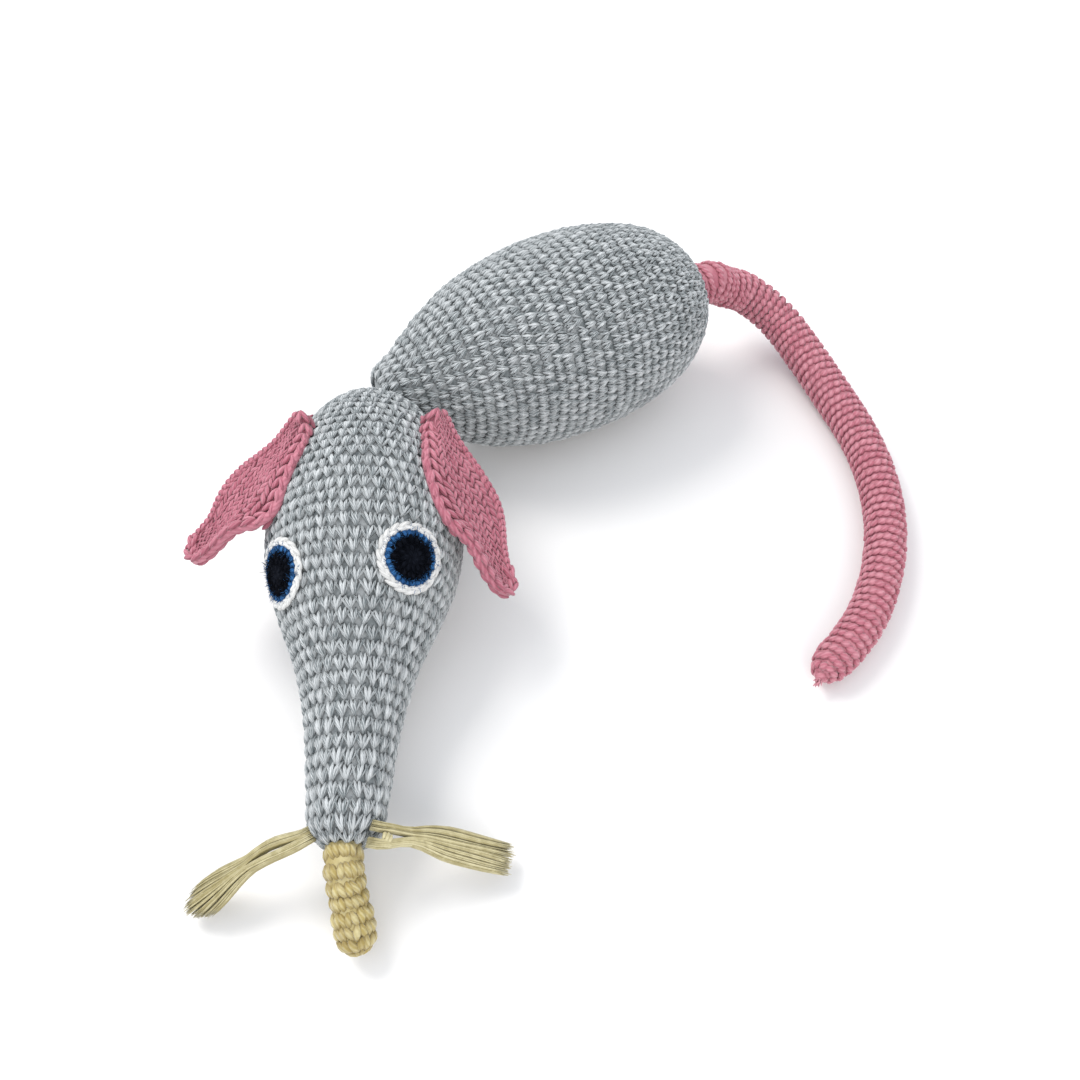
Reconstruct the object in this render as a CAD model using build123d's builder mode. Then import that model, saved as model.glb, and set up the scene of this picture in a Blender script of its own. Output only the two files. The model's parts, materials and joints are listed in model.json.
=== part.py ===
from build123d import *
from math import cos, radians, sin
import os

# A stuffed, crocheted long-snouted mouse lying on its belly, in millimetres.
#
# The toy faces -Y, its own left is +X, and it rests on the plane z = 0. The cut surfaces of the neck and of
# the tail are balls and sockets, so that the head and each length of the tail can swing without touching.

os.makedirs("parts", exist_ok=True)

# ---------------------------------------------------------------- driving dimensions
fabric = 4.0                # thickness of the grey single crochet fabric
fine_fabric = 2.4           # thickness of the fabric of the tail and the nose
gap = 0.3                   # clearance between pieces that move against each other
joint_clearance = 0.3       # filling stands this far inside its cover

neck = Vector(-73.4, 73.2, 47.0)        # centre of the stuffed neck joint
neck_radius = 20.0
body_yaw = 28.4                         # degrees from +X, neck towards rump
body_length = 162.0                     # from the neck joint to the rump
body_outline = [(9.0, 0.0), (10.0, 13.0), (13.5, 25.0), (23.0, 35.5), (38.0, 43.0), (56.0, 47.3), (76.0, 49.2),
                (96.0, 48.9), (114.0, 46.2), (130.0, 41.0), (143.0, 33.4), (153.0, 23.5), (159.5, 12.5),
                (body_length, 0.0)]

head_back = Vector(-86.4, 65.3, 49.0)   # where the head's axis leaves it at the back
head_yaw = -88.3
head_pitch = -7.5
head_length = 207.4
head_outline = [(0.0, 0.0), (1.5, 8.5), (6.0, 17.0), (15.0, 25.5), (30.0, 33.5), (50.0, 39.8), (72.0, 41.8),
                (95.0, 39.5), (118.0, 31.8), (140.0, 23.6), (165.0, 17.8), (188.0, 15.4), (200.0, 13.5),
                (205.5, 9.0), (head_length, 0.0)]

eye_radii = {"white": (11.3, 13.5), "blue": (8.9, 11.2), "black": (0.0, 8.8)}
eye_lift = 2.2              # how far the sewn-on eye stands out of the head
eye_places = {"left": (102.0, 37.0), "right": (104.0, -50.0)}   # along the head, degrees round it from the top
eye_tilt = 17.0             # the head narrows forwards, so the eye looks forwards by this much

ear_thickness = 4.5
ear_backs = {"left": Vector(-52.8, 36.4, 73.7), "right": Vector(-112.4, 29.2, 78.1)}
ear_along = {"left": Vector(0.373, -0.824, -0.427), "right": Vector(-0.572, -0.687, -0.449)}
ear_faces = {"left": Vector(0.771, 0.019, 0.636), "right": Vector(-0.610, -0.010, 0.792)}
ear_outlines = {                        # along each ear and outwards: down its inner edge and up its outer one
    "left": [(0.0, 0.0), (6.0, -13.0), (20.0, -23.5), (38.0, -27.0), (54.0, -23.5), (72.0, -17.0), (84.0, -10.0),
             (87.0, -3.5), (80.0, 2.0), (66.0, 5.0), (52.0, 12.5), (34.0, 15.5), (14.0, 8.0)],
    "right": [(0.0, 0.0), (6.0, -13.0), (20.0, -23.5), (38.0, -27.0), (54.0, -22.5), (68.0, -15.5), (78.5, -7.0),
              (82.0, 2.0), (74.5, 9.0), (60.0, 10.0), (44.0, 13.0), (30.0, 11.0), (14.0, 6.0)],
}
ear_seam_places = {"left": ((30.0, 42.0), (72.0, 50.0)), "right": ((32.0, -38.0), (74.0, -54.0))}

nose_root = Vector(-80.3, -144.5, 22.0)
nose_tip = Vector(-75.1, -168.5, 7.7)
nose_radius = 7.1

knot_radius = 2.3
whisker_root_radius = 1.7
whisker_end_width = 14.0
whisker_end_height = 5.0
whisker_places = {"left": (200.0, 72.0), "right": (200.0, -85.0)}
whisker_ends = {"left": Vector(-21.4, -137.5, 7.0), "right": Vector(-133.5, -153.7, 7.0)}

tail_stand_off = 7.0        # from the rump to the first bending point of the tail
tail_bends = [Vector(120.0, 154.6, 22.1), Vector(144.6, 104.5, 11.1), Vector(155.2, 48.5, 10.0),
              Vector(145.3, -7.6, 9.3), Vector(113.3, -54.5, 8.3)]
tail_middles = [Vector(98.0, 164.3, 35.4), Vector(134.1, 130.9, 14.6), Vector(152.3, 76.9, 10.2),
                Vector(152.9, 20.0, 9.6), Vector(132.2, -33.0, 8.8)]
tail_radii = [10.6, 10.1, 9.5, 8.9, 8.1]
tail_rim = 5.0              # from a bending point to the rim of the socket that holds the next length


# ---------------------------------------------------------------- shared geometry
def heading(yaw, pitch=0.0):
    """The direction that a yaw from +X and a pitch above the horizon point to."""
    y, p = radians(yaw), radians(pitch)
    return Vector(cos(y) * cos(p), sin(y) * cos(p), sin(p))


def turned(outline, side, inset=0.0):
    """A round soft form about the x axis of the side plane, with its surface moved inwards by inset."""
    first, last = outline[0][0], outline[-1][0]
    shorter = (last - first - 2 * inset) / (last - first)
    points = [(first + inset + (along - first) * shorter, inset_radius(r, inset)) for along, r in outline]
    with BuildPart() as form:
        with BuildSketch(side):
            with BuildLine():
                Spline(*points, tangents=[(0, 1), (0, -1)], tangent_scalars=(0.5, 0.5))
                Line(points[-1], points[0])
            make_face()
        revolve(axis=Axis(side.origin, side.x_dir))
    return form.part


def inset_radius(r, inset):
    """A radius made smaller by inset where it is wide, and by less where it is narrow, or larger all over."""
    if not r:
        return 0.0
    return r * r / (r + inset) if inset > 0 else r - inset


def finish(part, name):
    """Labels a finished piece and writes it."""
    part.label = name
    export_step(part, f"parts/{name}.step")


body_dir = heading(body_yaw)
body_side = Plane(origin=neck, x_dir=body_dir, z_dir=body_dir.cross(Vector(0, 0, 1)))

head_dir = heading(head_yaw, head_pitch)
head_across = head_dir.cross(Vector(0, 0, -1)).normalized()     # to the toy's left
head_side = Plane(origin=head_back, x_dir=head_dir, z_dir=head_dir.cross(Vector(0, 0, 1)))
head_up = head_side.y_dir


def head_radius(along):
    """The head's radius at a distance along its axis, between the points of its outline."""
    for (a0, r0), (a1, r1) in zip(head_outline, head_outline[1:]):
        if a0 <= along <= a1:
            return r0 + (r1 - r0) * (along - a0) / (a1 - a0)


def round_the_head(angle):
    """The direction away from the head's axis, in degrees from the top towards the toy's left."""
    return head_up * cos(radians(angle)) + head_across * sin(radians(angle))


def on_head(along, angle, lift=0.0):
    """A point on the head's surface, or lifted off it."""
    return head_back + head_dir * along + round_the_head(angle) * (head_radius(along) + lift)


def cut_flat():
    """Cuts off what would reach below the surface that the toy rests on."""
    split(bisect_by=Plane.XY, keep=Keep.TOP)


# ---------------------------------------------------------------- body
tail_root = neck + body_dir * (body_length + tail_stand_off)

with BuildPart() as body_cover:
    add(turned(body_outline, body_side))
    add(turned(body_outline, body_side, fabric), mode=Mode.SUBTRACT)
    with Locations(neck):
        Sphere(neck_radius + gap, mode=Mode.SUBTRACT)
    with Locations(tail_root):
        Sphere(tail_radii[0] + gap, mode=Mode.SUBTRACT)
    cut_flat()
finish(body_cover.part, "body_cover")

with BuildPart() as body_filling:
    add(turned(body_outline, body_side, fabric + joint_clearance))
    with Locations(neck):
        Sphere(neck_radius + gap, mode=Mode.SUBTRACT)
finish(body_filling.part, "body_filling")

# The thread that sews the tail on lies on the rump, in a ring round the tail's root.
seam_lift = 1.6
seam_inner = 9.4
seam_outer = 12.0
with BuildPart() as tail_seam:
    add(turned(body_outline, body_side, -seam_lift))
    add(turned(body_outline, body_side, -0.1), mode=Mode.SUBTRACT)
    with BuildSketch(Plane(origin=tail_root, z_dir=body_dir)):
        Circle(seam_outer)
        Circle(seam_inner, mode=Mode.SUBTRACT)
    extrude(amount=2 * tail_stand_off, both=True, mode=Mode.INTERSECT)
    with Locations(tail_root):
        Sphere(tail_radii[0] + gap, mode=Mode.SUBTRACT)
finish(tail_seam.part, "tail_seam")

# ---------------------------------------------------------------- neck
with BuildPart() as neck_filling:
    with Locations(neck):
        Sphere(neck_radius)
finish(neck_filling.part, "neck_filling")

# The sewing thread runs round the neck, in the fold between the head and the body.
thread_radius = 0.9
neck_fold = heading(body_yaw + 14.0)
with BuildPart() as neck_seam:
    with Locations(Plane(origin=neck, z_dir=neck_fold)):
        Torus(neck_radius + thread_radius + 0.05, thread_radius)
finish(neck_seam.part, "neck_seam")

# ---------------------------------------------------------------- head
with BuildPart() as head_cover:
    add(turned(head_outline, head_side))
    add(turned(head_outline, head_side, fabric), mode=Mode.SUBTRACT)
    with Locations(neck):
        Sphere(neck_radius + gap, mode=Mode.SUBTRACT)
    with Locations(nose_root):
        Sphere(nose_radius + gap, mode=Mode.SUBTRACT)
    cut_flat()
finish(head_cover.part, "head_cover")

with BuildPart() as head_filling:
    add(turned(head_outline, head_side, fabric + joint_clearance))
    with Locations(neck):
        Sphere(neck_radius + gap, mode=Mode.SUBTRACT)
finish(head_filling.part, "head_filling")

# Eyes: a black pupil, a blue ring and a white ring, each following the head's curve.
for side, (along, angle) in eye_places.items():
    looking = round_the_head(angle) * cos(radians(eye_tilt)) + head_dir * sin(radians(eye_tilt))
    eye_plane = Plane(origin=on_head(along, angle), z_dir=looking)
    for colour, (inner, outer) in eye_radii.items():
        with BuildPart() as eye:
            add(turned(head_outline, head_side, -eye_lift))
            add(turned(head_outline, head_side, -0.1), mode=Mode.SUBTRACT)
            with BuildSketch(eye_plane):
                Circle(outer)
                if inner:
                    Circle(inner, mode=Mode.SUBTRACT)
            extrude(amount=outer, both=True, mode=Mode.INTERSECT)
        finish(eye.part, f"eye_{colour}_{side}")

# ---------------------------------------------------------------- ears
for side in ("left", "right"):
    along = ear_along[side].normalized()
    face = ear_faces[side].normalized()
    ear_plane = Plane(origin=ear_backs[side], x_dir=along, z_dir=face)
    outwards = 1 if side == "left" else -1      # the plane's own y points to the toy's left on both sides
    with BuildPart() as ear:
        with BuildSketch(ear_plane):
            with BuildLine():
                Spline(*[(x, outwards * y) for x, y in ear_outlines[side]], periodic=True)
            make_face()
        extrude(amount=ear_thickness / 2, both=True)
        fillet(ear.edges(), ear_thickness * 0.45)
    finish(ear.part, f"ear_{side}")

# The thread that sews each ear on follows the head's curve below the ear's inner edge.
ear_seam_width = 2.2
for side, (back, front) in ear_seam_places.items():
    start = on_head(*back)
    end = on_head(*front)
    run = (end - start).normalized()
    out = round_the_head((back[1] + front[1]) / 2)
    with BuildPart() as ear_seam:
        add(turned(head_outline, head_side, -1.2))
        add(turned(head_outline, head_side, -0.1), mode=Mode.SUBTRACT)
        with BuildSketch(Plane(origin=(start + end) * 0.5, x_dir=run, z_dir=out)):
            Rectangle((end - start).length, ear_seam_width)
        extrude(amount=12, both=True, mode=Mode.INTERSECT)
    finish(ear_seam.part, f"ear_seam_{side}")

# ---------------------------------------------------------------- nose
nose_dir = (nose_tip - nose_root).normalized()
nose_reach = (nose_tip - nose_root).length
nose_side = Plane(origin=nose_root, x_dir=nose_dir, z_dir=nose_dir.cross(Vector(0, 0, 1)))
nose_outline = [(-nose_radius, 0.0), (-6.3, 3.2), (-4.0, 5.8), (0.0, nose_radius), (9.0, 7.3), (20.0, 7.1),
                (nose_reach, 6.4), (nose_reach + 4.8, 4.2), (nose_reach + 6.6, 0.0)]

with BuildPart() as nose_cover:
    add(turned(nose_outline, nose_side))
    add(turned(nose_outline, nose_side, fine_fabric), mode=Mode.SUBTRACT)
finish(nose_cover.part, "nose_cover")

with BuildPart() as nose_filling:
    add(turned(nose_outline, nose_side, fine_fabric + joint_clearance))
finish(nose_filling.part, "nose_filling")

# The thread that sews the nose on lies round its root, on the end of the snout.
with BuildPart() as nose_seam:
    with Locations(Plane(origin=nose_root - head_dir * 4.6, z_dir=head_dir)):
        Torus(nose_radius + 1.9, 0.8)
finish(nose_seam.part, "nose_seam")

# ---------------------------------------------------------------- whiskers
for side, place in whisker_places.items():
    knot = on_head(*place, lift=knot_radius + 0.9)
    run = (whisker_ends[side] - knot).normalized()
    level = run.cross(Vector(0, 0, 1)).normalized()
    with BuildPart() as whisker_knot:
        with Locations(knot):
            Sphere(knot_radius)
    finish(whisker_knot.part, f"whisker_knot_{side}")

    with BuildPart() as whisker:
        with BuildSketch(Plane(origin=knot + run * (knot_radius + gap), x_dir=level, z_dir=run)):
            Ellipse(whisker_root_radius * 1.6, whisker_root_radius)
        with BuildSketch(Plane(origin=whisker_ends[side], x_dir=level, z_dir=run)):
            Ellipse(whisker_end_width / 2, whisker_end_height / 2)
        loft()
    finish(whisker.part, f"whisker_{side}")

# ---------------------------------------------------------------- tail
bend = [tail_root] + tail_bends
for number, (start, middle, end, radius) in enumerate(zip(bend, tail_middles, tail_bends, tail_radii), 1):
    path = ThreePointArc(start, middle, end)
    leaving = path % 0
    solids = {}
    for piece, outside, inside in (("cover", radius, radius - fine_fabric),
                                   ("filling", radius - fine_fabric - joint_clearance, 0.0)):
        with BuildPart() as length:
            with BuildLine():
                add(path)
            with BuildSketch(Plane(origin=start, z_dir=leaving)):
                Circle(outside)
            sweep()
            with Locations(*([start, end] if number == 1 else [end])):
                Sphere(outside)
            if inside:
                with BuildPart(mode=Mode.SUBTRACT) as hollow:
                    with BuildLine():
                        add(path)
                    with BuildSketch(Plane(origin=start, z_dir=leaving)):
                        Circle(inside)
                    sweep()
                    with Locations(*([start, end] if number == 1 else [end])):
                        Sphere(inside)
            if number > 1:
                with Locations(start):
                    Sphere(tail_radii[number - 2] + gap, mode=Mode.SUBTRACT)
                with Locations(Plane(origin=start, z_dir=leaving)):
                    Cylinder(2 * radius, 2 * tail_rim, mode=Mode.SUBTRACT)
        finish(length.part, f"tail_{piece}_{number}")

# The tail ends in a short tuft, where the yarn is fastened off.
tuft_dir = (tail_bends[-1] - tail_middles[-1]).normalized()
tuft_length = 7.0
with BuildPart() as tail_tuft:
    with BuildSketch(Plane(origin=tail_bends[-1] + tuft_dir * (tail_radii[-1] + 0.05), z_dir=tuft_dir)):
        Circle(1.2)
    extrude(amount=tuft_length, taper=-6)
finish(tail_tuft.part, "tail_tuft")
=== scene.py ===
import json

import bpy
import numpy as np
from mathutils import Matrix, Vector


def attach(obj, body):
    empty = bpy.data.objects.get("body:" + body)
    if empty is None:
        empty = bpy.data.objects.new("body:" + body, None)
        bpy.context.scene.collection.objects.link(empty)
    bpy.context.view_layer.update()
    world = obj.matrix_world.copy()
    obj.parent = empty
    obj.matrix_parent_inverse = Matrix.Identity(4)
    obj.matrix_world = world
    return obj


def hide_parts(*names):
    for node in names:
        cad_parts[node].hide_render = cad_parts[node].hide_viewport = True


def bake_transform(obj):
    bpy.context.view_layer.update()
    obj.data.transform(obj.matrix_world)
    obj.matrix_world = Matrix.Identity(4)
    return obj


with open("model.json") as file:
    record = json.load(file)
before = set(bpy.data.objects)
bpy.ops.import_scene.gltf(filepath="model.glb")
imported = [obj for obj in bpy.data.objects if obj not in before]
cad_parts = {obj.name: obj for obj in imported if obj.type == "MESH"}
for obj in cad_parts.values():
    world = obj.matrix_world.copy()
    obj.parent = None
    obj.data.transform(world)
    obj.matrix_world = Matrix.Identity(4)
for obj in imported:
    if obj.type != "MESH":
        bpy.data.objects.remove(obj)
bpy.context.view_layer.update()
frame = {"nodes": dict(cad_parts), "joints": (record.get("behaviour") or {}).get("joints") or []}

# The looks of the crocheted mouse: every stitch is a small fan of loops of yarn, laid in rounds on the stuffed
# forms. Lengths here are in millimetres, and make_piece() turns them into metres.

pivots = {joint["name"]: 1000 * np.array(joint["pos_m"]) for joint in frame["joints"]}
rng = np.random.default_rng(5)

# ---------------------------------------------------------------- driving dimensions
row_pitch = 5.0             # height of a round of single crochet
stitch_width = 4.8
yarn_height = 2.4           # how thick a loop of the grey yarn stands
tail_pitch = 4.6
nose_pitch = 5.1

neck = pivots["neck_turn"]
body_yaw = 28.4
body_outline = [                        # distance along the axis, and radius
    (-14, 0), (-13, 9), (-10, 15.5), (0, 20.5), (12, 28.3), (25, 35.7), (40, 42.2), (60, 47.2), (80, 49.2),
    (100, 48.9), (118, 46.2), (134, 41.2), (146, 34.3), (155, 25.5), (160, 17.5), (163.6, 8.5), (164.6, 0),
]

head_back = np.array([-86.4, 65.3, 49.0])
head_yaw = -88.3
head_pitch = -7.5
head_outline = [
    (0, 0), (1.5, 8.5), (5, 15.5), (11, 22.2), (20, 28.5), (32, 34.3), (45, 38.5), (58, 41.0), (72, 41.8),
    (86, 41.2), (100, 38.2), (116, 32.6), (132, 26.0), (148, 21.2), (166, 17.8), (186, 15.6), (199, 14.0),
    (204.5, 9.5), (206.6, 4.5), (207.2, 0),
]


# ---------------------------------------------------------------- small tools
def unit(v):
    return v / np.linalg.norm(v, axis=-1, keepdims=True)


def heading(yaw, pitch=0.0):
    """The direction that a yaw from +X and a pitch above the horizon point to, in degrees."""
    y, p = np.radians(yaw), np.radians(pitch)
    return np.array([np.cos(y) * np.cos(p), np.sin(y) * np.cos(p), np.sin(p)])


def smooth_through(points, count):
    """A smooth curve through the points, as count points an even length apart."""
    p = np.array(points, float)
    p = np.vstack([2 * p[0] - p[1], p, 2 * p[-1] - p[-2]])
    out = []
    for a, b, c, d in zip(p, p[1:], p[2:], p[3:]):
        t = np.linspace(0, 1, 40, endpoint=False)[:, None]
        out.append(0.5 * (2 * b + (c - a) * t + (2 * a - 5 * b + 4 * c - d) * t ** 2
                          + (3 * b - a - 3 * c + d) * t ** 3))
    fine = np.vstack(out + [p[-2:-1]])
    length = np.r_[0, np.cumsum(np.linalg.norm(np.diff(fine, axis=0), axis=1))]
    even = np.linspace(0, length[-1], count)
    return np.stack([np.interp(even, length, fine[:, i]) for i in range(fine.shape[1])], axis=1)


def steps(value, low, high):
    """0 below low, 1 above high, and a smooth step between them."""
    t = np.clip((value - low) / (high - low), 0, 1)
    return t * t * (3 - 2 * t)


class Form:
    """A round soft form about a straight or bent centre line, measured by the length along its surface."""

    def __init__(self, centre, radius, up):
        self.centre = centre
        self.radius = np.maximum(radius, 0.0)
        tangent = unit(np.gradient(centre, axis=0))
        self.tangent = tangent
        self.side = unit(np.cross(up, tangent))
        self.top = np.cross(tangent, self.side)
        run = np.linalg.norm(np.diff(centre, axis=0), axis=1)
        self.along = np.r_[0, np.cumsum(np.hypot(run, np.diff(self.radius)))]
        run = np.r_[0, np.cumsum(run)]
        self.rise = np.gradient(self.radius, self.along)
        self.advance = np.sqrt(np.clip(1 - self.rise ** 2, 0, 1))
        self.axial = run

    @property
    def length(self):
        return self.along[-1]

    def pick(self, table, along):
        if table.ndim == 1:
            return np.interp(along, self.along, table)
        return np.stack([np.interp(along, self.along, table[:, i]) for i in range(3)], axis=-1)

    def at(self, along, angle, lift=0.0):
        """Point, outward normal, direction along and direction around, at an angle from the top."""
        along, angle = np.broadcast_arrays(np.asarray(along, float), np.asarray(angle, float))
        out = (np.cos(angle)[..., None] * self.pick(self.top, along)
               + np.sin(angle)[..., None] * self.pick(self.side, along))
        tangent = self.pick(self.tangent, along)
        rise, advance = self.pick(self.rise, along)[..., None], self.pick(self.advance, along)[..., None]
        normal = unit(out * advance - tangent * rise)
        ahead = unit(tangent * advance + out * rise)
        around = np.cross(normal, ahead)
        point = self.pick(self.centre, along) + out * self.pick(self.radius, along)[..., None] + normal * lift
        return point, normal, ahead, around


def lathe(origin, direction, outline):
    """A straight form whose outline is given as distances along it and radii."""
    curve = smooth_through(outline, 400)
    centre = origin + curve[:, :1] * direction
    return Form(centre, curve[:, 1], np.array([0.0, 0.0, 1.0]))


# ---------------------------------------------------------------- loops of yarn
class Yarn:
    """Collects triangles, and for each point its place on the yarn and how deep it lies between stitches, which
    the materials turn into painted shade.
    """

    def __init__(self):
        self.points, self.faces, self.place, self.deep, self.count = [], [], [], [], 0

    def add(self, points, faces, place, deep):
        self.points.append(points)
        self.faces.append(faces + self.count)
        self.place.append(place)
        self.deep.append(deep)
        self.count += len(points)

    def loops(self, point, ahead, around, normal, length, width, height, lean, crown, sink,
              rings=4, sides=6, light=0.0):
        """One plump loop of yarn at each point. It leans sideways by lean and lies sink deep, and its middle
        rises by crown."""
        m = len(point)
        length, width, height, lean, crown, sink = (np.broadcast_to(np.asarray(v, float), (m,))
                                                    for v in (length, width, height, lean, crown, sink))
        t = np.r_[0.0, (np.arange(rings) + 0.5) / rings, 1.0]
        girth = np.sin(np.pi * np.clip(t, 0, 1)) ** 0.55
        turn = 2 * np.pi * (np.arange(sides) + 0.5) / sides - np.pi / 2
        rows = []
        for i, (ti, gi) in enumerate(zip(t, girth)):
            around_it = turn if 0 < i < rings + 1 else turn[:1]
            x = (ti - 0.5) * length[:, None] + 0 * around_it
            a = gi * np.cos(around_it) * width[:, None] / 2 + lean[:, None] * x
            arch = 1 - (2 * ti - 1) ** 2
            n = gi * np.sin(around_it) * height[:, None] / 2 + (crown * arch - sink)[:, None]
            rows.append(np.stack([x, a, n], axis=-1))
        local = np.concatenate(rows, axis=1)
        per = local.shape[1]
        world = (point[:, None] + local[..., :1] * ahead[:, None] + local[..., 1:2] * around[:, None]
                 + local[..., 2:] * normal[:, None])
        tris = []
        for k in range(sides):
            n1 = (k + 1) % sides
            tris.append((0, 1 + n1, 1 + k))
            last = 1 + (rings - 1) * sides
            tris.append((per - 1, last + k, last + n1))
            for i in range(rings - 1):
                p, q = 1 + i * sides, 1 + (i + 1) * sides
                tris += [(p + k, p + n1, q + n1), (p + k, q + n1, q + k)]
        faces = (np.array(tris)[None] + per * np.arange(m)[:, None, None]).reshape(-1, 3)
        # light shifts the loop's mix of strand colours: the stitch tables use it as a painted highlight on
        # middle loops and painted shade on outer ones.
        seed = rng.random(m) + light
        turns = np.concatenate([[0.5], np.tile(np.arange(sides) / sides, rings), [0.5]])
        place = np.stack([local[..., 0] + length[:, None] / 2, np.broadcast_to(turns, (m, per)),
                          np.broadcast_to(seed[:, None], (m, per))], axis=-1)
        # Painted shade: the lower part of each loop, down towards the ground between stitches, gets more of the
        # dark colour.
        deep = 1 - steps(local[..., 2], -0.9 * height[:, None] / 3, 0.5 * height[:, None])
        self.add(world.reshape(-1, 3), faces, place.reshape(-1, 3), deep.reshape(-1))

    def grid(self, points, deep=1.0, wrap=True):
        """A surface through a grid of points, closed round its second direction; deep is how much painted shade
        it gets.
        """
        rows, cols = points.shape[:2]
        r, c = np.meshgrid(np.arange(rows - 1), np.arange(cols if wrap else cols - 1), indexing="ij")
        n = (c + 1) % cols
        a, b, d, e = r * cols + c, r * cols + n, (r + 1) * cols + n, (r + 1) * cols + c
        faces = np.stack([np.stack([a, d, b], -1), np.stack([a, e, d], -1)], -2).reshape(-1, 3)
        flat = points.reshape(-1, 3)
        self.add(flat, faces, np.repeat([[0.0, 0.5, 0.5]], len(flat), axis=0) + flat * [0.3, 0, 0],
                 np.full(len(flat), deep))

    def tubes(self, paths, radius, sides=4, deep=0.0):
        """A thin closed tube along each path, tapering at both ends; deep is how much painted shade it gets."""
        m, k = paths.shape[:2]
        ahead = unit(np.gradient(paths, axis=1))
        side = unit(np.cross(ahead, [0.1, 0.2, 1.0]))
        top = np.cross(side, ahead)
        turn = 2 * np.pi * np.arange(sides) / sides
        taper = np.minimum(1.0, 0.25 + 6 * np.minimum(np.linspace(0, 1, k), np.linspace(1, 0, k)))
        r = np.broadcast_to(np.asarray(radius, float).reshape(-1, 1, 1, 1), (m, 1, 1, 1))
        r = r * taper[None, :, None, None]
        ring = paths[:, :, None] + r * (np.cos(turn)[:, None] * side[:, :, None]
                                        + np.sin(turn)[:, None] * top[:, :, None])
        per = k * sides
        tris = []
        for i in range(k - 1):
            for j in range(sides):
                n = (j + 1) % sides
                a, b, c, d = i * sides + j, i * sides + n, (i + 1) * sides + n, (i + 1) * sides + j
                tris += [(a, b, c), (a, c, d)]
        for j in range(1, sides - 1):
            tris += [(0, j + 1, j), (per - sides, per - sides + j, per - sides + j + 1)]
        faces = (np.array(tris)[None] + per * np.arange(m)[:, None, None]).reshape(-1, 3)
        run = np.cumsum(np.linalg.norm(np.diff(paths, axis=1, prepend=paths[:, :1]), axis=2), axis=1)
        place = np.stack([np.repeat(run, sides, axis=1).reshape(m, per),
                          np.broadcast_to(np.tile(turn / 6.3, k), (m, per)),
                          np.broadcast_to(rng.random((m, 1)), (m, per))], axis=-1)
        self.add(ring.reshape(-1, 3), faces, place.reshape(-1, 3), np.full(m * per, deep))


# Each stitch is a fan of loops: where a loop stands in the stitch, how wide and how high it is, how it leans,
# how far it lies out, and how light it is. In the marled stitch the middle loops are painted lighter as a
# highlight, and the outer loops darker as painted shade.
plump_stitch = [(-0.245, 0.66, 1.0, -0.05, 0.0, 0.0), (0.245, 0.66, 1.0, 0.25, 0.0, 0.0)]
marled_stitch = [(-0.35, 0.33, 0.9, 0.50, -0.08, -0.1), (-0.12, 0.37, 1.05, 0.17, 0.04, 0.08),
                 (0.12, 0.37, 1.05, -0.17, 0.04, 0.08), (0.35, 0.33, 0.9, -0.50, -0.08, -0.1)]


def rounds(yarn, form, start, end, pitch, width, height, stitch, stagger=0.32, stretch=1.0, rough=1.0, **shape):
    """Crochet worked in rounds on a form, each stitch sitting over one of the round before it.
    The last round is stretch times as high as the first, and rough says how uneven the stitches are."""
    count = max(1, int(round((end - start) / (pitch * (1 + stretch) / 2))))
    heights = np.linspace(1, stretch, count)
    heights *= (end - start) / heights.sum()
    tops = start + np.cumsum(heights)
    phase = 0.0
    for pitch, top in zip(heights, tops):
        along = top - 0.5 * pitch
        r = float(form.pick(form.radius, along))
        n = max(5, int(round(2 * np.pi * max(r, 1.0) / width)))
        wide = 2 * np.pi * r / n
        phase += stagger / n
        angle = 2 * np.pi * ((np.arange(n) + 0.5) / n + phase)
        angle = angle + rng.normal(0, 0.05 * rough, n) * wide / max(r, 1)
        here = along + rng.normal(0, 0.05 * rough * pitch, n)
        turn = rng.normal(0, 0.10 * rough, n)
        for place, share, tall, lean, out, light in stitch:
            aside = (place + rng.normal(0, 0.03 * rough, n)) * wide / max(r, 1.0)
            p, normal, ahead, around = form.at(here, angle + aside)
            size = rng.normal(1, 0.08 * rough, n)
            yarn.loops(p, ahead, around, normal, 1.22 * pitch * size,
                       share * wide * rng.normal(1, 0.06 * rough, n), height * tall * size,
                       lean + turn + rng.normal(0, 0.09 * rough, n), 0.22 * height,
                       (0.55 - out + rng.normal(0, 0.05 * rough, n)) * height, light=light, **shape)


def ridges(yarn, form, start, end, pitch, width, height, slant=0.2, share=0.86, rough=1.0):
    """Finer rounds that show as ridges: one plump loop lies round the form for each stitch."""
    count = max(1, int(round((end - start) / pitch)))
    pitch = (end - start) / count
    phase = 0.0
    for k in range(count):
        r = float(form.pick(form.radius, start + (k + 0.5) * pitch))
        n = max(4, int(round(2 * np.pi * max(r, 0.8) / width)))
        phase += 0.4 / n
        angle = 2 * np.pi * ((np.arange(n) + 0.5) / n + phase)
        angle = angle + rng.normal(0, 0.06 * rough, n) * width / max(r, 1.0)
        along = start + (k + 0.5) * pitch + rng.normal(0, 0.05 * rough * pitch, n)
        p, normal, ahead, around = form.at(along, angle)
        yarn.loops(p, around, -ahead, normal, 1.38 * width * rng.normal(1, 0.07 * rough, n),
                   share * pitch * rng.normal(1, 0.08 * rough, n), height * rng.normal(1, 0.07 * rough, n),
                   slant + rng.normal(0, 0.10 * rough, n), 0.10 * height, 0.42 * height)


def under(yarn, form, start, end, pitch, inset, around=48, deep=1.0):
    """The closed ground under the stitches, darkened by deep as painted shade between them."""
    rows = np.linspace(start, end, max(4, int(2 * (end - start) / pitch)))
    angle = np.linspace(0, 2 * np.pi, around, endpoint=False)
    grid = form.at(rows[:, None], angle[None, :], -inset)[0]
    tip = [np.repeat(grid[i].mean(axis=0)[None, None], around, axis=1) for i in (0, -1)]
    yarn.grid(np.concatenate([tip[0], grid, tip[1]]), deep)


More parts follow.
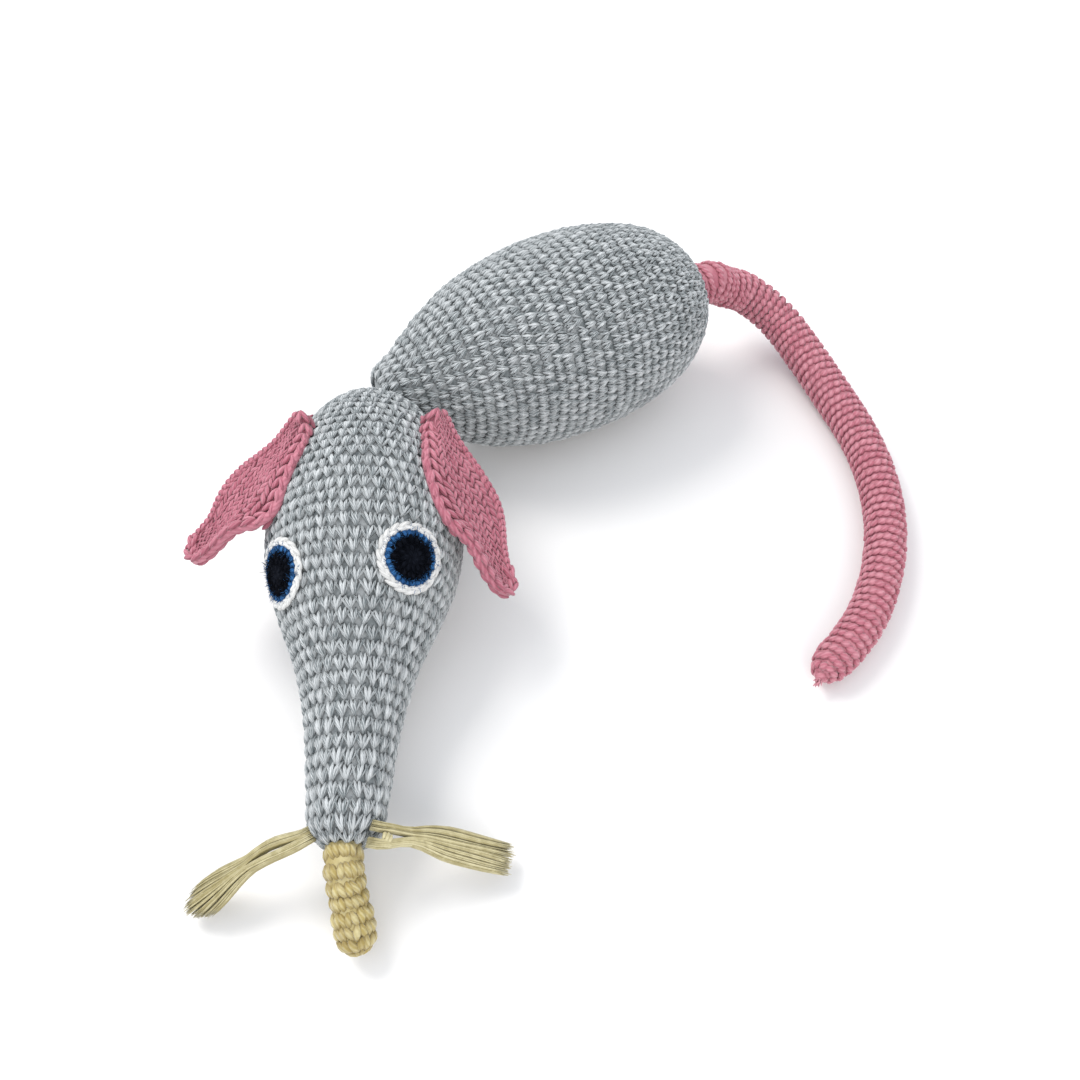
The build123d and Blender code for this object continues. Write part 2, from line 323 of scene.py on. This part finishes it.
def soften(points, lumps=0.7, floor=0.35):
    """Small unevenness of the filling, and the flattening where the toy lies on something."""
    x, y, z = points.T
    swell = (np.sin(x / 13.0 + 1.3) * np.sin(y / 17.0 + 0.4)
             + 0.6 * np.sin(y / 9.0 + x / 21.0) * np.cos(z / 12.0)) * lumps
    moved = points.copy()
    moved[:, 2] += 0.5 * swell
    moved[:, 0] += 0.35 * swell
    soft = 1.6
    moved[:, 2] = floor + soft * np.logaddexp(0, (moved[:, 2] - floor) / soft)
    return moved


def make_piece(name, yarn, material, bend=None):
    """Makes the Blender object of a yarn piece."""
    points = np.concatenate(yarn.points)
    faces = np.concatenate(yarn.faces).astype(np.int32)
    if bend is not None:
        points = bend(points)
    mesh = bpy.data.meshes.new(name)
    mesh.vertices.add(len(points))
    mesh.vertices.foreach_set("co", (points * 0.001).astype(np.float32).ravel())
    mesh.loops.add(faces.size)
    mesh.loops.foreach_set("vertex_index", faces.ravel())
    mesh.polygons.add(len(faces))
    mesh.polygons.foreach_set("loop_start", np.arange(0, faces.size, 3, dtype=np.int32))
    mesh.polygons.foreach_set("use_smooth", np.ones(len(faces), bool))
    place = mesh.attributes.new("place", "FLOAT_VECTOR", "POINT")
    place.data.foreach_set("vector", np.concatenate(yarn.place).astype(np.float32).ravel())
    # deep carries the painted shade between stitches to the materials.
    deep = mesh.attributes.new("deep", "FLOAT", "POINT")
    deep.data.foreach_set("value", np.concatenate(yarn.deep).astype(np.float32))
    mesh.update(calc_edges=True)
    mesh.validate()
    mesh.materials.append(material)
    piece = bpy.data.objects.new(name, mesh)
    bpy.context.scene.collection.objects.link(piece)
    return piece


# ---------------------------------------------------------------- materials
def yarn_material(name, strand_a, strand_b, shade, strands=5.0, slant=0.28, sheen=0.3, fluff=0.4,
                  painted_hollow_shade=0.6, rough=0.8, shine=0.25, marled=0.5):
    """Twisted yarn of two strand colours, with painted shade: darker where it lies deep between stitches."""
    material = bpy.data.materials.new(name)
    material.use_nodes = True
    nt = material.node_tree
    nt.nodes.clear()
    new = nt.nodes.new

    def math(operation, a, b):
        node = new("ShaderNodeMath")
        node.operation = operation
        for socket, value in zip(node.inputs, (a, b)):
            if isinstance(value, (int, float)):
                socket.default_value = value
            elif value is not None:
                nt.links.new(value, socket)
        return node.outputs[0]

    def noise(scale, detail, vector):
        node = new("ShaderNodeTexNoise")
        node.inputs["Scale"].default_value = scale
        node.inputs["Detail"].default_value = detail
        nt.links.new(vector, node.inputs["Vector"])
        return node.outputs["Fac"]

    def mix(factor, a, b, blend="MIX"):
        node = new("ShaderNodeMix")
        node.data_type = "RGBA"
        node.blend_type = blend
        for socket, value in ((node.inputs[0], factor), (node.inputs[6], a), (node.inputs[7], b)):
            if isinstance(value, (int, float)):
                socket.default_value = value
            elif isinstance(value, tuple):
                socket.default_value = (*value, 1)
            else:
                nt.links.new(value, socket)
        return node.outputs[2]

    place = new("ShaderNodeAttribute")
    place.attribute_name = "place"
    split = new("ShaderNodeSeparateXYZ")
    nt.links.new(place.outputs["Vector"], split.inputs[0])
    deep = new("ShaderNodeAttribute")
    deep.attribute_name = "deep"
    coords = new("ShaderNodeTexCoord")
    position = coords.outputs["Object"]

    wobble = noise(420.0, 2.0, position)
    twist = math("ADD", math("MULTIPLY", split.outputs["X"], slant),
                 math("MULTIPLY", split.outputs["Y"], strands))
    twist = math("ADD", twist, math("MULTIPLY", wobble, 0.7))
    wave = math("ADD", math("MULTIPLY", math("SINE", math("MULTIPLY", twist, 6.2832), None), 0.5), 0.5)
    marl = math("ADD", math("MULTIPLY", wave, marled), math("MULTIPLY", noise(300.0, 3.0, position), 0.9))
    marl = math("ADD", marl, math("MULTIPLY", math("SUBTRACT", split.outputs["Z"], 0.5), 0.55))
    marl = math("MINIMUM", math("MAXIMUM", math("MULTIPLY", math("SUBTRACT", marl, 0.30), 1.5), 0.0), 1.0)
    colour = mix(marl, strand_a, strand_b)
    fibre = noise(2600.0, 2.0, position)
    colour = mix(math("MULTIPLY", fibre, 0.22), colour, shade)
    broad = noise(22.0, 2.0, position)
    colour = mix(math("MULTIPLY", broad, 0.12), colour, shade)
    # Painted shade: the deep attribute mixes the dark colour in between and under the stitches, where shade
    # falls.
    colour = mix(math("MULTIPLY", deep.outputs["Fac"], painted_hollow_shade), colour, shade)

    height = math("ADD", math("MULTIPLY", wave, 0.6), math("MULTIPLY", fibre, fluff))
    bump = new("ShaderNodeBump")
    bump.inputs["Strength"].default_value = 0.55
    bump.inputs["Distance"].default_value = 0.0005
    nt.links.new(height, bump.inputs["Height"])

    shader = new("ShaderNodeBsdfPrincipled")
    shader.inputs["Roughness"].default_value = rough
    shader.inputs["Specular IOR Level"].default_value = shine
    shader.inputs["Sheen Weight"].default_value = sheen
    shader.inputs["Sheen Roughness"].default_value = 0.4
    nt.links.new(colour, shader.inputs["Base Color"])
    nt.links.new(bump.outputs["Normal"], shader.inputs["Normal"])
    output = new("ShaderNodeOutputMaterial")
    nt.links.new(shader.outputs[0], output.inputs["Surface"])
    return material


grey = yarn_material("grey_marled_yarn", (0.20, 0.235, 0.245), (0.93, 0.96, 0.97), (0.10, 0.115, 0.12),
                     shine=0.45, marled=0.6)
pink = yarn_material("rose_pink_yarn", (0.44, 0.135, 0.185), (0.62, 0.25, 0.31), (0.19, 0.042, 0.062))
tail_pink = yarn_material("rose_pink_tail_yarn", (0.60, 0.215, 0.275), (0.84, 0.42, 0.48), (0.30, 0.075, 0.105),
                          painted_hollow_shade=0.75)
straw = yarn_material("straw_yellow_yarn", (0.55, 0.45, 0.165), (0.86, 0.79, 0.46), (0.25, 0.175, 0.055),
                      painted_hollow_shade=0.8)
yellow = yarn_material("silky_yellow_yarn", (0.36, 0.305, 0.13), (0.66, 0.60, 0.36), (0.20, 0.16, 0.06),
                       strands=1.0, slant=0.0, shine=0.6, rough=0.45)
white = yarn_material("white_yarn", (0.68, 0.68, 0.66), (0.84, 0.84, 0.82), (0.30, 0.30, 0.30), painted_hollow_shade=0.4)
blue = yarn_material("blue_yarn", (0.014, 0.085, 0.250), (0.045, 0.190, 0.460), (0.004, 0.018, 0.060),
                     sheen=0.0)
black = yarn_material("black_yarn", (0.003, 0.004, 0.007), (0.008, 0.010, 0.016), (0.001, 0.001, 0.002),
                      sheen=0.0, rough=1.0, shine=0.05)
stuffing = yarn_material("polyester_filling", (0.70, 0.70, 0.68), (0.86, 0.86, 0.84), (0.45, 0.45, 0.44))

# ---------------------------------------------------------------- body
body = lathe(neck, heading(body_yaw), body_outline)
body_yarn = Yarn()
under(body_yarn, body, 0.5, body.length - 0.5, row_pitch, 1.7)
rounds(body_yarn, body, 12.0, body.length - 1.0, row_pitch, stitch_width, yarn_height, marled_stitch,
       rough=1.1, rings=3, sides=4)
body_piece = make_piece("body_crochet", body_yarn, grey, soften)
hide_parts("body_cover", "neck_filling", "neck_seam")
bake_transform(body_piece)

# ---------------------------------------------------------------- head
head_dir = heading(head_yaw, head_pitch)
head = lathe(head_back, head_dir, head_outline)
head_yarn = Yarn()
under(head_yarn, head, 0.5, head.length - 0.5, row_pitch, 1.7)
rounds(head_yarn, head, 1.0, head.length - 1.0, row_pitch, stitch_width, yarn_height, marled_stitch,
       stretch=1.22, rings=4, sides=4)
head_piece = make_piece("head_crochet", head_yarn, grey, soften)
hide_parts("head_cover")
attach(head_piece, "head")


def on_head(axial, degrees, lift=0.0):
    """Point, normal, direction ahead and direction around on the head, by distance along its axis."""
    along = np.interp(axial, head.axial, head.along)
    return head.at(along, np.radians(degrees), lift)


# ---------------------------------------------------------------- tail
tail_root = pivots["tail_swing_1"]
tail_end = np.array([107.9, -61.2, 8.6])
tail_route = [
    neck + 162 * heading(body_yaw), tail_root + [4.0, 2.6, 0.0], [87.7, 160.9, 40.5], [101.5, 163.9, 33.5],
    [118.5, 156.1, 23.5], [130.6, 138.2, 17.0], [142.7, 109.7, 12.0], [152.3, 76.8, 10.6], [155.2, 46.8, 10.4],
    [152.8, 19.0, 10.1], [145.6, -6.9, 9.8], [136.2, -26.8, 9.4], [125.0, -42.2, 9.0], [113.3, -54.5, 8.7],
    tail_end,
]
tail_centre = smooth_through(tail_route, 600)
reach = np.linspace(0, 1, 600)
tail_radius = np.interp(reach, [0, 0.03, 0.3, 0.6, 0.9, 0.955, 0.975, 0.99, 1.0],
                        [11.6, 10.7, 10.3, 9.6, 8.9, 8.6, 7.4, 4.6, 0.0])
tail = Form(tail_centre, tail_radius, np.array([0.0, 0.0, 1.0]))
middles = [int(np.argmin(np.linalg.norm(tail_centre - m, axis=1))) for m in
           ([98.0, 164.3, 35.4], [134.1, 130.9, 14.6], [152.3, 76.9, 10.2], [152.9, 20.0, 9.6])]
edges = [0.0] + [tail_pitch * round(tail.along[i] / tail_pitch) for i in middles] + [tail.length - 0.4]
for i, (a, b) in enumerate(zip(edges, edges[1:])):
    yarn = Yarn()
    under(yarn, tail, a, b, tail_pitch, 1.2, around=24, deep=0.75)
    ridges(yarn, tail, a, b, tail_pitch, 3.5, 2.8)
    piece = make_piece(f"tail_crochet_{i + 1}", yarn, tail_pink, lambda p: soften(p, 0.25))
    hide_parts(f"tail_cover_{i + 1}")
    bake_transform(piece)

# ---------------------------------------------------------------- nose
nose_root = pivots["nose_bend"]
nose_tip = np.array([-73.3, -169.6, 8.2])
nose_route = [nose_root - 6 * head_dir, nose_root + [0.4, -1.8, 0.2], [-77.8, -155.0, 16.6],
              nose_tip + [0, -2.5, -1.6]]
nose_centre = smooth_through(nose_route, 200)
nose_reach = np.linspace(0, 1, 200)
nose_radius = np.interp(nose_reach, [0, 0.06, 0.5, 0.72, 0.86, 0.95, 1.0],
                        [8.0, 7.3, 7.2, 7.7, 7.2, 5.0, 0.0])
nose = Form(nose_centre, nose_radius, np.array([0.0, 0.0, 1.0]))
nose_yarn = Yarn()
under(nose_yarn, nose, 0.0, nose.length - 0.4, nose_pitch, 1.0, around=24, deep=0.6)
rounds(nose_yarn, nose, 0.5, nose.length - 0.3, nose_pitch, 5.2, 2.7, plump_stitch, rough=0.8)
nose_piece = make_piece("nose_crochet", nose_yarn, straw, lambda p: soften(p, 0.2))
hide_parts("nose_cover", "nose_seam")
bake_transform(nose_piece)

# ---------------------------------------------------------------- eyes
eye_places = {"left": (102.0, 38.5), "right": (104.0, -51.5)}


def eye_patch(side, radius, angle, lift):
    """Point, normal, outward and turning directions on the head, round the middle of an eye."""
    axial, degrees = eye_places[side]
    radius, angle = np.broadcast_arrays(np.asarray(radius, float), np.asarray(angle, float))
    middle = np.interp(axial, head.axial, head.along)
    r = float(head.pick(head.radius, middle))
    p, normal, ahead, around = head.at(middle + radius * np.cos(angle),
                                       np.radians(degrees) + radius * np.sin(angle) / r, lift)
    out = unit(np.cos(angle)[..., None] * ahead + np.sin(angle)[..., None] * around)
    return p, normal, out, np.cross(normal, out)


def eye_ring(yarn, side, radius, count, lift, length, width, height, lean=0.0, circling=False):
    """A ring of loops round the middle of an eye, pointing outwards, or along the ring if circling."""
    angle = 2 * np.pi * (np.arange(count) + rng.uniform(0, 1)) / count + rng.normal(0, 0.03, count)
    p, normal, out, turning = eye_patch(side, radius, angle, lift)
    ahead, around = (turning, -out) if circling else (out, turning)
    yarn.loops(p, ahead, around, normal, length * rng.normal(1, 0.06, count), width, height, lean, 0.3, 0.4)


def eye_ground(yarn, side, radii, lift):
    """The closed ground of an eye piece, from its first radius to its last and back under, partly in painted
    shade.
    """
    angle = np.linspace(0, 2 * np.pi, 40, endpoint=False)
    top = [eye_patch(side, r, angle, h)[0] for r, h in zip(radii, lift)]
    low = [eye_patch(side, r, angle, 0.0)[0] for r in (radii[-1], radii[0])]
    yarn.grid(np.stack(top + low + top[:1]), deep=0.6)


def fluff(yarn, side, inner, outer, count, size, lift):
    """Loose ends of fibre that stand out of fuzzy yarn."""
    radius = np.sqrt(rng.uniform(inner ** 2, outer ** 2, count))
    p, normal, out, turning = eye_patch(side, radius, rng.uniform(0, 2 * np.pi, count), lift)
    go = (out * rng.normal(0.35, 0.6, (count, 1)) + turning * rng.normal(0, 0.6, (count, 1))
          + normal * rng.uniform(0.1, 0.5, (count, 1)))
    curl = rng.normal(0, 0.35, (count, 3))
    t = np.linspace(0, 1, 4)[None, :, None]
    paths = p[:, None] + size * (t * go[:, None] + t ** 2 * curl[:, None] - 0.25 * t ** 2 * normal[:, None])
    yarn.tubes(paths, 0.11, sides=3)


for side in ("left", "right"):
    ring = Yarn()
    eye_ground(ring, side, (11.0, 12.0, 13.2, 13.7), (0.5, 1.0, 0.9, 0.1))
    for radius, lean in ((11.9, -0.2), (13.3, 0.2)):
        eye_ring(ring, side, radius, 19, 0.95, 6.6, 2.3, 1.5, lean, circling=True)
    piece = make_piece(f"eye_white_{side}_crochet", ring, white)
    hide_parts(f"eye_white_{side}")
    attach(piece, "head")

    iris = Yarn()
    eye_ground(iris, side, (8.0, 9.5, 10.8, 11.4), (0.6, 1.0, 0.9, 0.1))
    eye_ring(iris, side, 9.9, 26, 0.9, 4.0, 2.4, 1.6)
    fluff(iris, side, 8.0, 11.2, 700, 1.8, 1.0)
    piece = make_piece(f"eye_blue_{side}_crochet", iris, blue)
    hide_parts(f"eye_blue_{side}")
    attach(piece, "head")

    pupil = Yarn()
    eye_ground(pupil, side, (0.05, 3.0, 7.0, 8.6), (1.4, 1.35, 1.1, 0.3))
    for radius, count in ((7.2, 18), (4.3, 12), (1.6, 6)):
        eye_ring(pupil, side, radius + rng.normal(0, 0.35, count), count, 1.2, 4.0, 2.6, 1.5)
    fluff(pupil, side, 3.5, 8.9, 700, 2.2, 1.4)
    piece = make_piece(f"eye_black_{side}_crochet", pupil, black)
    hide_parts(f"eye_black_{side}")
    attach(piece, "head")

# ---------------------------------------------------------------- ears
ears = {                                # inner and outer edges: distance along the ear, and outwards
    "left": dict(
        back=np.array([-52.8, 36.4, 73.7]), along=unit(np.array([0.373, -0.824, -0.427])),
        out=unit(np.array([0.516, 0.567, -0.642])), face=unit(np.array([0.771, 0.019, 0.636])),
        inner=[(1, -1), (4, -4.5), (14, -12), (25, -20), (38, -22.5), (50, -21), (60, -17.5), (70, -15.5),
               (79, -12.5), (85, -8.5), (87, -2.5)],
        outer=[(1, -1), (5, 1.5), (14, 2), (24, 4.5), (34, 8.5), (46, 11.5), (56, 9.5), (66, 4.5),
               (75, 1.5), (83, 1.5), (87, -2.5)]),
    "right": dict(
        back=np.array([-112.4, 29.2, 78.1]), along=unit(np.array([-0.572, -0.687, -0.449])),
        out=unit(np.array([-0.548, 0.727, -0.414])), face=unit(np.array([-0.610, -0.010, 0.792])),
        inner=[(-1, -3), (3, -9), (13, -17), (26, -22), (37, -26), (45, -25), (53, -19.5), (62, -15.5),
               (69, -12.5), (73.5, -8), (75, -1.5)],
        outer=[(-1, -3), (6, -3), (16, -3.5), (24, 0), (32, 5), (41, 7.5), (49, 6.5), (57, 3), (64, 4),
               (69.5, 5), (73.5, 3), (75, -1.5)]),
}
ear_ribs = 10


def ear_surface(ear, along, across, lift=0.0):
    """A point of an ear: along runs 0 to 1 from its back to its tip, and across runs -1 to 1 from its inner
    to its outer edge."""
    inner, outer = smooth_through(ear["inner"], 120), smooth_through(ear["outer"], 120)
    t = np.linspace(0, 1, 120)
    edge = [np.stack([np.interp(along, t, e[:, i]) for i in range(2)], -1) for e in (inner, outer)]
    share = ((across + 1) / 2)[..., None]
    flat = edge[0] * (1 - share) + edge[1] * share
    width = np.linalg.norm(edge[1] - edge[0], axis=-1)
    cup = 0.11 * width * (across ** 2 - 0.4) * steps(along, 0.02, 0.3)
    point = (ear["back"] + flat[..., :1] * ear["along"] + flat[..., 1:] * ear["out"]
             + (cup + lift)[..., None] * ear["face"])
    # The inner edge comes down to the head, where it is sewn on.
    rel = point - head_back
    axial = rel @ head_dir
    radial = rel - axial[..., None] * head_dir
    distance = np.linalg.norm(radial, axis=-1)
    head_r = np.interp(axial, head.axial, head.radius)
    sewn = (1 - steps(across, -1.0, -0.25)) * steps(along, 0.0, 0.12) * (1 - steps(along, 0.52, 0.72))
    want = distance + sewn * np.minimum(head_r + 1.6 + lift - distance, 0)
    want = np.maximum(want, head_r + 1.2 + np.maximum(lift, 0))
    return point + radial * ((want - distance) / distance)[..., None]


def ear_frame(ear, along, across, lift=0.0):
    """Point, direction along, direction across and normal of an ear's surface."""
    step = 0.004
    p = ear_surface(ear, along, across, lift)
    ahead = unit(ear_surface(ear, np.minimum(along + step, 1), across, lift)
                 - ear_surface(ear, np.maximum(along - step, 0), across, lift))
    side = unit(ear_surface(ear, along, across + 0.03, lift) - ear_surface(ear, along, across - 0.03, lift))
    normal = unit(np.cross(ahead, side))
    normal *= np.sign((normal * ear["face"]).sum(-1, keepdims=True))
    return p, ahead, np.cross(normal, ahead), normal


def edge_braid(yarn, ear, stops, count, width, apart, lean):
    """A chain of stitches along an ear's edge, on both faces; stops holds pairs of along and across."""
    along, across = np.array(stops).T
    for lift, flip in ((0.9, 1), (-2.9, -1)):
        p, _, _, normals = ear_frame(ear, along, across, np.full(len(along), lift))
        line = smooth_through(p, count)
        pitch = np.linalg.norm(np.diff(line, axis=0), axis=1).mean()
        ahead = unit(np.gradient(line, axis=0))
        face = normals[np.argmin(np.linalg.norm(line[:, None] - p[None], axis=2), axis=1)]
        around = unit(np.cross(face, ahead))
        face = np.cross(ahead, around)
        for leg in (-1, 1):
            yarn.loops(line + leg * apart * around, ahead, flip * around, flip * face, 1.3 * pitch,
                       width, width, flip * leg * lean + rng.normal(0, 0.04, count), 0.5, 0.4, rings=5)


for side, ear in ears.items():
    yarn = Yarn()
    t = np.linspace(0.0, 1.0, 44)
    v = np.linspace(-0.97, 0.97, 22)
    top = ear_surface(ear, t[:, None] + 0 * v, v[None] + 0 * t[:, None], np.zeros((44, 22)))
    low = ear_surface(ear, t[:, None] + 0 * v, v[None] + 0 * t[:, None], np.full((44, 22), -2.4))
    skin = np.concatenate([top, low[:, ::-1]], axis=1)
    sense = 1 if side == "left" else -1     # the right ear is laid out as a mirror image
    # The ear's core sheet between the ribs is painted fully in the dark colour, as painted shade.
    yarn.grid(skin[:, ::sense])
    # Lengthwise ribs, each a rope of long slanting loops, on both faces of the ear.
    stitches = 24
    for k in range(ear_ribs):
        across = -0.66 + (k + 0.5) * 1.64 / ear_ribs
        along = 0.03 + 0.91 * (np.arange(stitches) + 0.5 * (k % 2) + 0.25) / stitches
        along = along + rng.normal(0, 0.004, stitches)
        inner = ear_surface(ear, along, np.full(stitches, -1.0))
        outer = ear_surface(ear, along, np.full(stitches, 1.0))
        wide = 0.82 * np.linalg.norm(outer - inner, axis=1) / ear_ribs
        for lift, flip in ((0.4, 1), (-2.7, -1)):
            p, ahead, around, normal = ear_frame(ear, along, np.full(stitches, across),
                                                 np.full(stitches, lift))
            yarn.loops(p, ahead, flip * around, flip * normal, 5.4 * rng.normal(1, 0.10, stitches),
                       wide * rng.normal(1.05, 0.12, stitches), np.minimum(1.9, 0.5 * wide + 0.7),
                       flip * (-1) ** k * 0.42 + rng.normal(0, 0.12, stitches), 0.4, 0.35, sides=5)
    # A broad braid of stitches runs down the inner edge and round the tip, and a narrow one along the outer
    # edge.
    edge_braid(yarn, ear, [(a, -0.88) for a in np.linspace(0.045, 0.95, 40)]
               + [(0.958, 0.5), (0.93, 0.8), (0.89, 0.85)], 19, 2.5, 1.3, 0.34)
    edge_braid(yarn, ear, [(a, 0.955) for a in np.linspace(0.035, 0.93, 30)], 28, 1.7, 0.55, 0.2)
    # A cord of yarn rounds off the whole edge, with a little painted shade.
    down, up = np.linspace(0.0, 1.0, 60), np.linspace(1.0, 0.0, 60)[1:]
    edge = np.concatenate([ear_surface(ear, run, np.full(len(run), side_of), np.full(len(run), -1.2))
                           for run, side_of in ((down, -0.97), (up, 0.97))])
    yarn.tubes(smooth_through(edge[::6], 150)[None], 1.75, sides=10, deep=0.15)
    piece = make_piece(f"ear_{side}_crochet", yarn, pink)
    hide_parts(f"ear_{side}")
    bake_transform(piece)


# ---------------------------------------------------------------- sewing thread
def thread(name, node, points, material, loops_along, width, rides):
    """A row of sewn stitches along a line, each a short slanting loop."""
    line = smooth_through(points, loops_along)
    ahead = unit(np.gradient(line, axis=0))
    if rides == "head":
        rel = line - head_back
        out = unit(rel - (rel @ head_dir)[:, None] * head_dir)
    else:
        out = unit(line - tail_root)
    yarn = Yarn()
    yarn.loops(line, ahead, unit(np.cross(ahead, out)), out, 4.6, width, width, 0.35, 0.4, 0.2, rings=5)
    piece = make_piece(name, yarn, material)
    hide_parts(node)
    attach(piece, rides)


for side, (back, front) in {"left": ((30, 46), (72, 55)), "right": ((30, -42), (74, -58))}.items():
    points = [on_head(back[0] + s * (front[0] - back[0]), back[1] + s * (front[1] - back[1]), 1.4)[0]
              for s in np.linspace(0, 1, 6)]
    thread(f"ear_seam_{side}_thread", f"ear_seam_{side}", points, pink, 13, 1.9, "head")

ring = np.linspace(0, 2 * np.pi, 15)
ring_points = [body.at(body.length - 11.5, a, 1.4)[0] for a in ring]
thread("tail_seam_thread", "tail_seam", ring_points, pink, 22, 1.9, "torso")

# ---------------------------------------------------------------- whiskers
whisker_ends = {"left": np.array([-21.4, -137.5, 8.0]), "right": np.array([-135.5, -154.5, 7.0])}
lowered = np.array([0.0, -4.0, 0.0])        # the tassels leave the snout a little in front of their pivots
for side, end in whisker_ends.items():
    root = pivots[f"whisker_{side}_swing"]
    run = end - root
    level = unit(np.cross(run, [0, 0, 1]))
    up = unit(np.cross(level, run))
    count, bits = 260, 14
    t = np.linspace(0, 1, bits)[None, :, None]
    spread = np.sort(rng.uniform(-1, 1, count))[:, None, None]
    stack = rng.uniform(-1, 1, (count, 1, 1))
    # The left one ends square, the right one in a rounded brush with a narrower waist.
    if side == "left":
        far = rng.normal(1.0, 0.02, (count, 1, 1))
        half = 3.6 - 0.9 * steps(t, 0.0, 0.25) + 3.6 * steps(t, 0.2, 0.6)
        sag, apart = -0.6, 1.5 * (1 - steps(t, 0.12, 0.34))
    else:
        far = 1.05 + rng.normal(0, 0.015, (count, 1, 1)) - 0.16 * spread ** 2
        half = 3.2 + 4.0 * steps(t, 0.5, 0.95)
        sag, apart = 2.2, 0.9 * np.sin(np.pi * np.clip(2.2 * t - 0.2, 0, 1))
    phase = 4 * spread + rng.uniform(0, 0.6, (count, 1, 1))
    part = apart * np.sign(spread)      # two locks near the root
    paths = (root - 0.14 * run + 1.14 * run * t * far
             + level * (spread * half + part + 0.35 * np.sin(6 * t + phase) * t)
             + up * (stack * (1.2 + 0.9 * t) + sag * np.sin(np.pi * t) + 0.35 * np.sin(8 * t + phase) * t))
    paths += lowered * (1 - steps(t, 0.0, 0.45))
    paths[..., 2] = np.maximum(paths[..., 2], 0.6)
    yarn = Yarn()
    yarn.tubes(paths, rng.uniform(0.28, 0.45, count), sides=4)
    piece = make_piece(f"whisker_{side}_tassel", yarn, yellow)
    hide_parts(f"whisker_{side}")
    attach(piece, f"{side}_whisker")

    knot = Yarn()
    turns = np.linspace(0, 2 * np.pi * 2.5, 40)
    axis = unit(run)
    coil = (root + lowered + 1.3 * (np.cos(turns)[:, None] * level + np.sin(turns)[:, None] * up)
            + np.linspace(-1.6, 1.6, 40)[:, None] * axis)
    knot.tubes(coil[None], 0.8, sides=8)
    piece = make_piece(f"whisker_knot_{side}_coil", knot, yellow)
    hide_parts(f"whisker_knot_{side}")
    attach(piece, "head")

# ---------------------------------------------------------------- tail tuft
tuft_dir = unit(tail.tangent[-1])
count = 22
t = np.linspace(0, 1, 8)[None, :, None]
paths = (tail_end - 3.0 * tuft_dir
         + t * (tuft_dir * rng.uniform(4.2, 5.6, (count, 1, 1)) + rng.normal(0, 0.9, (count, 1, 3)))
         + t ** 2 * rng.normal(0, 0.5, (count, 1, 3)))
paths[..., 2] = np.maximum(paths[..., 2], 0.6)
tuft = Yarn()
tuft.tubes(paths, 0.32, sides=5)
piece = make_piece("tail_tuft_strands", tuft, tail_pink)
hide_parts("tail_tuft")
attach(piece, "tail_5")

# ---------------------------------------------------------------- what stays from the CAD
for name, node in frame["nodes"].items():
    if "filling" in name:
        for holder in node.material_slots:
            holder.material = stuffing
        if not node.material_slots:
            node.data.materials.append(stuffing)

# ---------------------------------------------------------------- stage
floor_material = bpy.data.materials.new("pale_floor")
floor_material.use_nodes = True
floor_material.node_tree.nodes["Principled BSDF"].inputs["Base Color"].default_value = (0.86, 0.85, 0.84, 1)
floor_material.node_tree.nodes["Principled BSDF"].inputs["Roughness"].default_value = 0.9
bpy.ops.mesh.primitive_plane_add(size=8, location=(0, 0, 0))
floor = bpy.context.object
floor.name = "floor"
floor.data.materials.append(floor_material)

world = bpy.data.worlds.new("soft_light")
world.use_nodes = True
world.node_tree.nodes["Background"].inputs["Color"].default_value = (0.86, 0.90, 0.96, 1)
world.node_tree.nodes["Background"].inputs["Strength"].default_value = 1.0
bpy.context.scene.world = world


def area_light(name, location, target, size, power, colour):
    data = bpy.data.lights.new(name, "AREA")
    data.size = size
    data.energy = power
    data.color = colour
    light = bpy.data.objects.new(name, data)
    light.location = location
    way = np.array(target) - np.array(location)
    light.rotation_euler = Vector(way).to_track_quat("-Z", "Y").to_euler()
    bpy.context.scene.collection.objects.link(light)


area_light("window", (-0.8, 0.6, 1.2), (0, 0, 0.03), 0.8, 17, (1.0, 0.98, 0.95))
area_light("room", (0.5, -1.2, 0.8), (0, 0, 0.03), 1.0, 9, (1.0, 0.95, 0.90))

bpy.context.scene.view_settings.view_transform = "Standard"
camera_data = bpy.data.cameras.new("camera")
camera_data.sensor_width = 36
camera_data.lens = 33.4
camera = bpy.data.objects.new("camera", camera_data)
camera.location = (-0.0094, -0.2747, 0.3782)
camera_elevation = 52
camera.rotation_euler = (np.radians(90 - camera_elevation), 0, 0)
bpy.context.scene.collection.objects.link(camera)
bpy.context.scene.camera = camera

bpy.context.view_layer.update()
